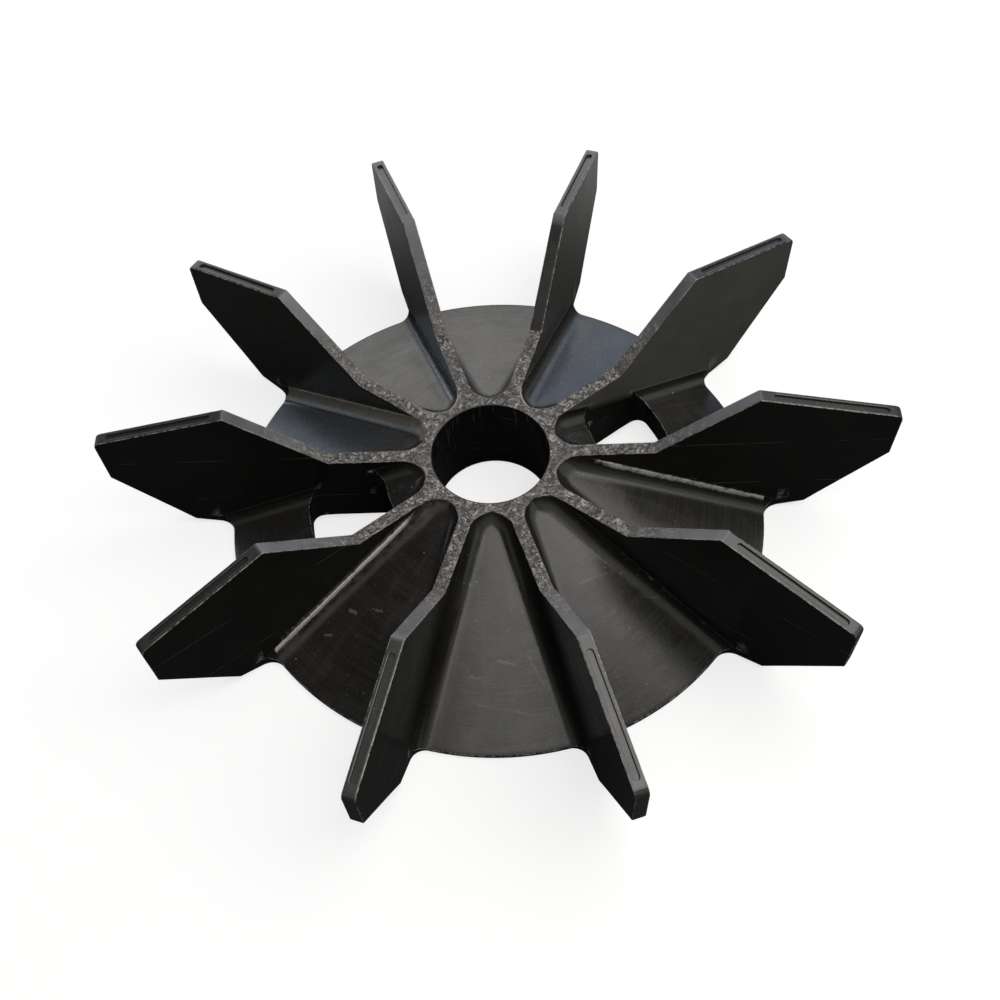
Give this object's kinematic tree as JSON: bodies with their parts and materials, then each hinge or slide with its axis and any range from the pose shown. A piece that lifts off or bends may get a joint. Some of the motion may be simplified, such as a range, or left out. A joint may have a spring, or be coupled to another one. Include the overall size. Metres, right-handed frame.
{
  "type": "centrifugal impeller",
  "caption": "One-piece black plastic radial fan impeller: central bore, conical skirt, tall flat radial blades that rise and reach past the rim, and opposite windows in the skirt.",
  "frame": {"origin": "on the spin axis, in the plane of the skirt's rim", "axes": "+Z along the spin axis towards the flat hub top and the blades; +X and -X through the middles of the two windows"},
  "size_m": [0.2694, 0.2818, 0.0667],
  "materials": {
    "black_moulded_plastic": "satin, with a coarse grain on the flat top faces"
  },
  "bodies": {
    "root": {"impeller": "black_moulded_plastic"}
  },
  "joints": []
}
